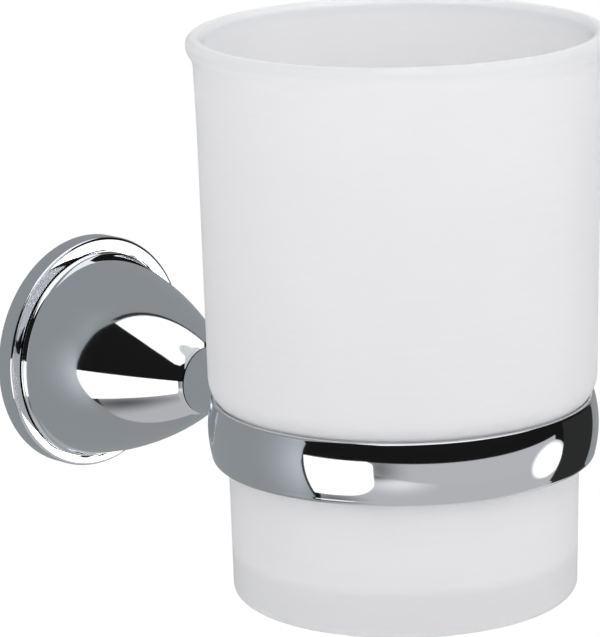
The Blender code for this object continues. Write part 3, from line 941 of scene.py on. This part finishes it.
def makeBracket():
    b = bracket
    edge = b["edge"]
    wallInside = bracketRadius - b["wall"]
    corner = (wallInside - b["floorRound"], b["floor"] + b["floorRound"])
    outline = [
        (0, 0),
        (bracketRadius - edge, 0),
        (bracketRadius, edge),
        (bracketRadius, grooveLevel - b["grooveDepth"]),
        (bracketRadius - b["grooveDepth"], grooveLevel),
        (bracketRadius, grooveLevel + b["grooveDepth"]),
        (bracketRadius, bracketHeight - edge),
        (bracketRadius - edge, bracketHeight),
        (wallInside + edge, bracketHeight),
        (wallInside, bracketHeight - edge),
        *arcPoints(corner, b["floorRound"], 0, -90, steps=6),
        (0, b["floor"]),
    ]
    mesh = turnedMesh(outline, b["segments"], zincPlate, onArm(), closed=False)
    past = making["cutPast"]
    holes = [
        rodMesh(screwHole, -past, b["floor"] + past, 48, zincPlate, onArm(rise=side * screwOffset))
        for side in (1, -1)
    ]
    addPiece("wallBracket", cutFrom(mesh, holes), "holder", ["wall_bracket"])


def threadMesh(rootRadius, ridge, start, length, pitch, material, matrix):
    values = {
        "Root Radius": rootRadius * mm,
        "Ridge": ridge * mm,
        "Length": length * mm,
        "Turns": length / pitch,
        "Steps per Turn": 24,
        "Material": material,
    }
    made = bakeTree(threadTree, pointMesh("start", [(0, 0, 0), (0, 0, mm)]), values)
    made.transform(matrix @ Matrix.Translation((0, 0, start * mm)))
    finishMesh(made)
    return made


# Several closed meshes of one material as one mesh.
def joinMeshes(parts):
    whole = bmesh.new()
    for part in parts:
        whole.from_mesh(part)
    made = bpy.data.meshes.new("joined")
    whole.to_mesh(made)
    whole.free()
    made.materials.append(parts[0].materials[0])
    finishMesh(made)
    return made


def makeWallScrew(name, node, side):
    s = screw
    matrix = onArm(rise=side * screwOffset)
    root = s["radius"] - s["threadDepth"]
    tip = screwSeat - s["length"]
    crown = s["headHeight"] - s["headSide"]
    quarter = arcPoints((0, 0), 1, 90, 0, steps=16)
    outline = [
        *[(headRadius * r, screwSeat + s["headSide"] + crown * h) for r, h in quarter],
        (headRadius, screwSeat + s["headEdge"]),
        (headRadius - s["headEdge"], screwSeat),
        (s["radius"], screwSeat),
        (s["radius"], s["shankEnd"]),
        (root, s["rootFrom"]),
        (root, tip + s["point"]),
        (0, tip),
    ]
    shank = turnedMesh(outline, 64, platedSteel, matrix, closed=False)
    top = matrix @ Matrix.Translation((0, 0, (screwSeat + s["headHeight"]) * mm))
    slotSize = (s["recessLength"], s["recessWidth"], s["recessDepth"] * 2)
    turns = [Matrix.Rotation(math.radians(turn), 4, "Z") for turn in s["recessTurns"]]
    cut = cutFrom(shank, [blockMesh(slotSize, top @ turn) for turn in turns])
    threadStart = tip + s["point"]
    threadLength = s["length"] - s["point"] - s["threadShort"]
    thread = threadMesh(
        root, s["threadDepth"], threadStart, threadLength, s["pitch"], platedSteel, matrix
    )
    addPiece(name, joinMeshes([cut, thread]), "holder", [node])


def makeWallPlug(name, node, side):
    p = plug
    front = -layout["fitGap"]
    end = front - p["length"]
    boreEnd = screwSeat - screw["length"] - p["boreRoom"]
    first = front - p["collar"]
    pitch = (p["length"] - p["collar"] - p["nose"]) / p["teeth"]
    teeth = []
    for i in range(p["teeth"]):
        teeth.append((plugRadius, first - pitch * i))
        teeth.append((plugRadius - p["toothDepth"], first - pitch * (i + p["toothFront"])))
    outline = [
        (plugBore, front),
        (plugRadius - p["edge"], front),
        (plugRadius, front - p["edge"]),
        *teeth,
        (plugRadius, end + p["nose"]),
        (plugRadius - p["noseDraft"], end + p["edge"]),
        (plugRadius - p["noseDraft"] - p["edge"], end),
        (0, end),
        (0, boreEnd),
        (plugBore, boreEnd),
    ]
    matrix = onArm(rise=side * screwOffset)
    mesh = turnedMesh(outline, 64, greyNylon, matrix)
    # one block splits both walls from the collar to past the end
    reach = p["length"] - p["collar"] + making["cutPast"]
    middle = matrix @ Matrix.Translation((0, 0, (front - p["collar"] - reach / 2) * mm))
    split = blockMesh((p["slot"], plugRadius * 3, reach), middle)
    addPiece(name, cutFrom(mesh, [split]), "holder", [node])


def hexMesh(acrossFlats, start, end, matrix):
    return rodMesh(acrossFlats / math.sqrt(3), start, end, 6, platedSteel, matrix)


def makeTieBolt():
    b = bolt
    washerEnd = noseDepth - bell["noseWall"] - layout["fitGap"]
    seat = washerEnd - washer["thickness"] - layout["fitGap"]
    boltEnd = boltBoreEnd - b["endRoom"]
    head = seat - b["headHeight"]
    root = b["radius"] - b["threadDepth"]
    outline = [
        (0, head),
        (b["headRadius"] - b["edge"], head),
        (b["headRadius"], head + b["edge"]),
        (b["headRadius"], seat),
        (b["radius"], seat),
        (b["radius"], neckStart),
        (root, neckStart + b["threadDepth"]),
        (root, boltEnd - b["edge"]),
        (root - b["edge"], boltEnd),
        (0, boltEnd),
    ]
    shank = turnedMesh(outline, 96, platedSteel, onArm(), closed=False)
    socket = hexMesh(b["socket"], head - making["cutPast"], head + b["socketDepth"], onArm())
    threadStart = neckStart + b["threadFrom"]
    threadLength = boltEnd - neckStart - b["threadShort"]
    thread = threadMesh(
        root, b["threadDepth"], threadStart, threadLength, b["pitch"], platedSteel, onArm()
    )
    mesh = joinMeshes([cutFrom(shank, [socket]), thread])
    addPiece("tieBolt", mesh, "holder", ["tie_bolt"])


def makeGrubScrew():
    g = grub
    outer = bellRadiusAt(grooveLevel) - g["sink"]
    tip = bracketRadius - bracket["grooveDepth"] + g["tipRadius"] + layout["fitGap"] * math.sqrt(2)
    outline = [
        (0, tip),
        (g["tipRadius"], tip),
        (g["radius"], tip + g["radius"] - g["tipRadius"]),
        (g["radius"], outer - g["edge"]),
        (g["radius"] - g["edge"], outer),
        (0, outer),
    ]
    body = turnedMesh(outline, 64, platedSteel, underBell, closed=False)
    socket = hexMesh(g["socket"], outer - g["socketDepth"], outer + making["cutPast"], underBell)
    addPiece("grubScrew", cutFrom(body, [socket]), "holder", ["grub_screw"])


makeTumbler()
makeRing()
makeNeck()
makeBell()
makeDisc()
print("glass, ring, neck, bell and disc made")
makeBracket()
for level, side in (("Upper", 1), ("Lower", -1)):
    makeWallScrew("wallScrew" + level, "wall_screw_" + level.lower(), side)
    makeWallPlug("wallPlug" + level, "wall_plug_" + level.lower(), side)
makeTieBolt()
makeGrubScrew()
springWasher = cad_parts["spring_washer"]
for slot in springWasher.material_slots:
    slot.material = platedSteel
print("fixings made")


# The camera, solved from the outlines of the glass, ring, bell and disc in the photograph.
camera = {
    "azimuth": -45.29,
    "elevation": 14.001,
    "distance": 687.44,
    "roll": -1.223,
    "focalPixels": 3993.03,
    "pictureHeight": 637,
    "sensorWidth": 36,
    "nearest": 10,
    "aimHeight": 21.5,
    "slideRight": -17.447,
    "slideUp": -2.179,
}


def makeCamera():
    c = camera
    a, e, r = (math.radians(c[k]) for k in ("azimuth", "elevation", "roll"))
    back = Vector((math.sin(a) * math.cos(e), -math.cos(a) * math.cos(e), math.sin(e)))
    right = Vector((math.cos(a), math.sin(a), 0))
    up = back.cross(right)
    right, up = math.cos(r) * right + math.sin(r) * up, math.cos(r) * up - math.sin(r) * right
    aim = Vector((0, -layout["armLength"], c["aimHeight"]))
    spot = aim + back * c["distance"] + right * c["slideRight"] + up * c["slideUp"]
    data = bpy.data.cameras.new("camera")
    data.sensor_width = c["sensorWidth"]
    data.lens = c["focalPixels"] * data.sensor_width / c["pictureHeight"]
    data.clip_start = c["nearest"] * mm
    obj = bpy.data.objects.new("camera", data)
    turn = Matrix((right, up, back)).transposed().to_4x4()
    turn.translation = spot * mm
    obj.matrix_world = turn
    bpy.context.scene.collection.objects.link(obj)
    bpy.context.scene.camera = obj


makeCamera()


# The pale room, which lights the glass and the floor. To a mirror it is dark.
room = {
    "floorLevel": -120,
    "floorSize": 6000,
    "floorColour": "#F3F3F3",
    "daylight": 1.165,
    "brighterRight": 0.23,
    "rightTurn": 60,
    "mirroredDark": 0.009,
}
# The cards and boards stand where the photograph's chrome mirrors them, and only mirrors see
# them. Azimuths turn from the camera's side to its right, and levels are over the arm's axis.
# A pool is a soft patch of painted light where what it adds is above nought, and of painted shadow where
# it is below: its middle, its radius and what it adds. A card's corners are its roundings, from the
# upper right one by way of the upper left.
cards = {
    "leftCard": {
        "azimuth": -38.9,
        "distance": 550,
        "width": 409,
        "bottom": -400,
        "top": -20,
        "corners": (50, 1, 1, 165),
        "glow": 1.5,
        "lightAndShadePools": (),
    },
    "frontCard": {
        "azimuth": 38,
        "distance": 800,
        "width": 2560,
        "bottom": -400,
        "top": -70,
        "corners": (1, 1, 1, 1),
        "glow": 0.56,
        "lightAndShadePools": (((-15, 1329, -200), 560, -0.33),),
    },
    "roundCard": {
        "azimuth": 91.5,
        "distance": 700,
        "width": 344,
        "bottom": -408,
        "top": -64,
        "corners": (172, 172, 172, 172),
        "glow": 0.56,
        "lightAndShadePools": (((91.5, 700, -236), 186, 6),),
    },
    "rightFlag": {
        "azimuth": 122.5,
        "distance": 600,
        "width": 440,
        "bottom": -400,
        "top": 30,
        "corners": (1, 1, 1, 1),
        "glow": 0.03,
        "lightAndShadePools": (),
    },
}
table = {
    "level": -400,
    "reach": 1500,
    "glow": 0.55,
    # painted light and painted shadow on the table top; the patch at -50 degrees is the left card's
    # painted shadow
    "lightAndShadePools": (
        ((-4, 900), 420, 0.34),
        ((-50, 430), 260, -0.42),
        ((-17, 1350), 480, -0.36),
        ((115, 420), 300, 0.25),
    ),
}
# The wall board stands on the table, behind the wall's plane, and its points are (X, Z). Its left
# edge leans out as it rises.
wallBoard = {
    "depth": 25,
    "glow": 0.335,
    "tint": "#F6FCFF",
    "leftEdge": (
        (-950, 1950),
        (-764, 1048),
        (-640, 618),
        (-618, 430),
        (-560, 268),
        (-483, 114),
        (-415, 22),
        (-385, -60),
    ),
    "leftFoot": -380,
    "rightFoot": 1000,
    "upperEdge": ((1000, 1000), (-500, 1000), (-650, 1950)),
    # painted light: two brighter patches on the wall board
    "lightAndShadePools": (((-340, -60), 260, 0.28), ((-330, 300), 350, 0.06)),
}
# The overhead card stops short of the wall board, and the dark gap between them is mirrored too.
overhead = {
    "level": 1000,
    "gap": 30,
    "glow": 1.33,
    "leftBack": -470,
    "edge": ((-645, -230), (-891, -483), (-1193, -726), (-711, -900), (0, -1081), (707, -788)),
    "rightBack": 1000,
}


def besideGlass(azimuth, distance, level):
    turn = math.radians(camera["azimuth"] + azimuth)
    spot = Vector((math.sin(turn) * distance, -layout["armLength"] - math.cos(turn) * distance, level))
    return spot * mm


# A card's glow, which is clear to rays that have been through the glass, so that no card or
# board shows in the tumbler.
def makeGlow(name, glow, lightAndShadePools=(), tint="#FFFFFF"):
    material = bpy.data.materials.new(name)
    material.use_nodes = True
    tree = material.node_tree
    tree.nodes.clear()
    coords = addNode(tree, "ShaderNodeTexCoord")
    strength = glow
    # painted light and shadow: each patch adds its change to the glow
    for spot, radius, change in lightAndShadePools:
        away = addNode(
            tree, "ShaderNodeVectorMath", {0: coords.outputs["Object"], 1: spot}, operation="DISTANCE"
        )
        pool = addNode(
            tree,
            "ShaderNodeMapRange",
            {
                "Value": away.outputs["Value"],
                "From Min": radius * mm,
                "From Max": 0,
                "To Min": 0,
                "To Max": change,
            },
            interpolation_type="SMOOTHSTEP",
        )
        strength = addNode(tree, "ShaderNodeMath", {0: strength, 1: pool.outputs["Result"]}).outputs[0]
    shine = addNode(tree, "ShaderNodeEmission", {"Color": linearColour(tint), "Strength": strength})
    clear = addNode(tree, "ShaderNodeBsdfTransparent")
    path = addNode(tree, "ShaderNodeLightPath")
    choice = addNode(
        tree,
        "ShaderNodeMixShader",
        {0: path.outputs["Is Transmission Ray"], 1: shine.outputs[0], 2: clear.outputs[0]},
    )
    addNode(tree, "ShaderNodeOutputMaterial", {"Surface": choice.outputs[0]})
    return material


def addStage(name, corners, material, onlyMirrored=True):
    mesh = bpy.data.meshes.new(name)
    mesh.from_pydata(corners, [], [tuple(range(len(corners)))])
    mesh.materials.append(material)
    obj = bpy.data.objects.new(name, mesh)
    bpy.context.scene.collection.objects.link(obj)
    if onlyMirrored:
        obj.visible_camera = False
        obj.visible_diffuse = False
        obj.visible_transmission = False
        obj.visible_shadow = False
    return obj


def levelCorners(reach, back, level):
    spots = ((-reach, -reach), (reach, -reach), (reach, back), (-reach, back))
    return [Vector((x, y, level)) * mm for x, y in spots]


def makeCards():
    for name, card in cards.items():
        centre = besideGlass(card["azimuth"], card["distance"], (card["bottom"] + card["top"]) / 2)
        turn = math.radians(camera["azimuth"] + card["azimuth"])
        across = Vector((math.cos(turn), math.sin(turn), 0))
        halfWidth = card["width"] / 2
        halfHeight = (card["top"] - card["bottom"]) / 2
        outline = []
        for i, (sx, sy) in enumerate(((1, 1), (-1, 1), (-1, -1), (1, -1))):
            rounding = card["corners"][i]
            corner = (sx * (halfWidth - rounding), sy * (halfHeight - rounding))
            outline += arcPoints(corner, rounding, i * 90, i * 90 + 90, steps=12)
        corners = [centre + (across * x + Vector((0, 0, z))) * mm for x, z in outline]
        lightAndShadePools = [(besideGlass(*spot), radius, change) for spot, radius, change in card["lightAndShadePools"]]
        addStage(name, corners, makeGlow(name, card["glow"], lightAndShadePools))


def makeTable():
    t = table
    corners = levelCorners(t["reach"], wallBoard["depth"], t["level"])
    lightAndShadePools = [(besideGlass(*spot, t["level"]), radius, change) for spot, radius, change in t["lightAndShadePools"]]
    addStage("tableTop", corners, makeGlow("tableTop", t["glow"], lightAndShadePools))


def makeWallBoard():
    b = wallBoard
    foot = table["level"]
    outline = (*b["leftEdge"], (b["leftFoot"], foot), (b["rightFoot"], foot), *b["upperEdge"])
    corners = [Vector((x, b["depth"], z)) * mm for x, z in outline]
    lightAndShadePools = [(Vector((x, b["depth"], z)) * mm, radius, change) for (x, z), radius, change in b["lightAndShadePools"]]
    addStage("wallBoard", corners, makeGlow("wallBoard", b["glow"], lightAndShadePools, b["tint"]))


def makeOverhead():
    o = overhead
    back = wallBoard["depth"] - o["gap"]
    outline = ((o["leftBack"], back), *o["edge"], (o["rightBack"], back))
    corners = [Vector((x, y, o["level"])) * mm for x, y in outline]
    addStage("overhead", corners, makeGlow("overhead", o["glow"]))


def makeWorld():
    world = bpy.data.worlds.new("room")
    world.use_nodes = True
    bpy.context.scene.world = world
    tree = world.node_tree
    tree.nodes.clear()
    # the room is a little brighter to the camera's right than to its left
    turn = math.radians(camera["azimuth"] + room["rightTurn"])
    coords = addNode(tree, "ShaderNodeTexCoord")
    side = addNode(
        tree,
        "ShaderNodeVectorMath",
        {0: coords.outputs["Generated"], 1: (math.sin(turn), -math.cos(turn), 0)},
        operation="DOT_PRODUCT",
    )
    level = addNode(
        tree,
        "ShaderNodeMath",
        {0: side.outputs["Value"], 1: room["brighterRight"], 2: room["daylight"]},
        operation="MULTIPLY_ADD",
    )
    white = linearColour("#FFFFFF")
    light = addNode(tree, "ShaderNodeBackground", {"Color": white, "Strength": level.outputs[0]})
    dark = addNode(tree, "ShaderNodeBackground", {"Color": white, "Strength": room["mirroredDark"]})
    # dark for a ray that a mirror throws, but not for one that is in the glass
    path = addNode(tree, "ShaderNodeLightPath")
    mirrored = addNode(
        tree,
        "ShaderNodeMath",
        {0: path.outputs["Is Glossy Ray"], 1: path.outputs["Is Transmission Ray"]},
        operation="SUBTRACT",
        use_clamp=True,
    )
    choice = addNode(
        tree,
        "ShaderNodeMixShader",
        {0: mirrored.outputs[0], 1: light.outputs[0], 2: dark.outputs[0]},
    )
    addNode(tree, "ShaderNodeOutputWorld", {"Surface": choice.outputs[0]})


def makeFloor():
    sockets = {"Base Color": linearColour(room["floorColour"]), "Roughness": 0.9}
    material = newMaterial("paleFloor", sockets)[0]
    half = room["floorSize"] / 2
    corners = levelCorners(half, half, room["floorLevel"])
    floor = addStage("floor", corners, material, onlyMirrored=False)
    floor.visible_glossy = False


bpy.context.scene.view_settings.view_transform = "Standard"
makeWorld()
makeFloor()
makeCards()
makeTable()
makeWallBoard()
makeOverhead()
print("studio set")

view.update()
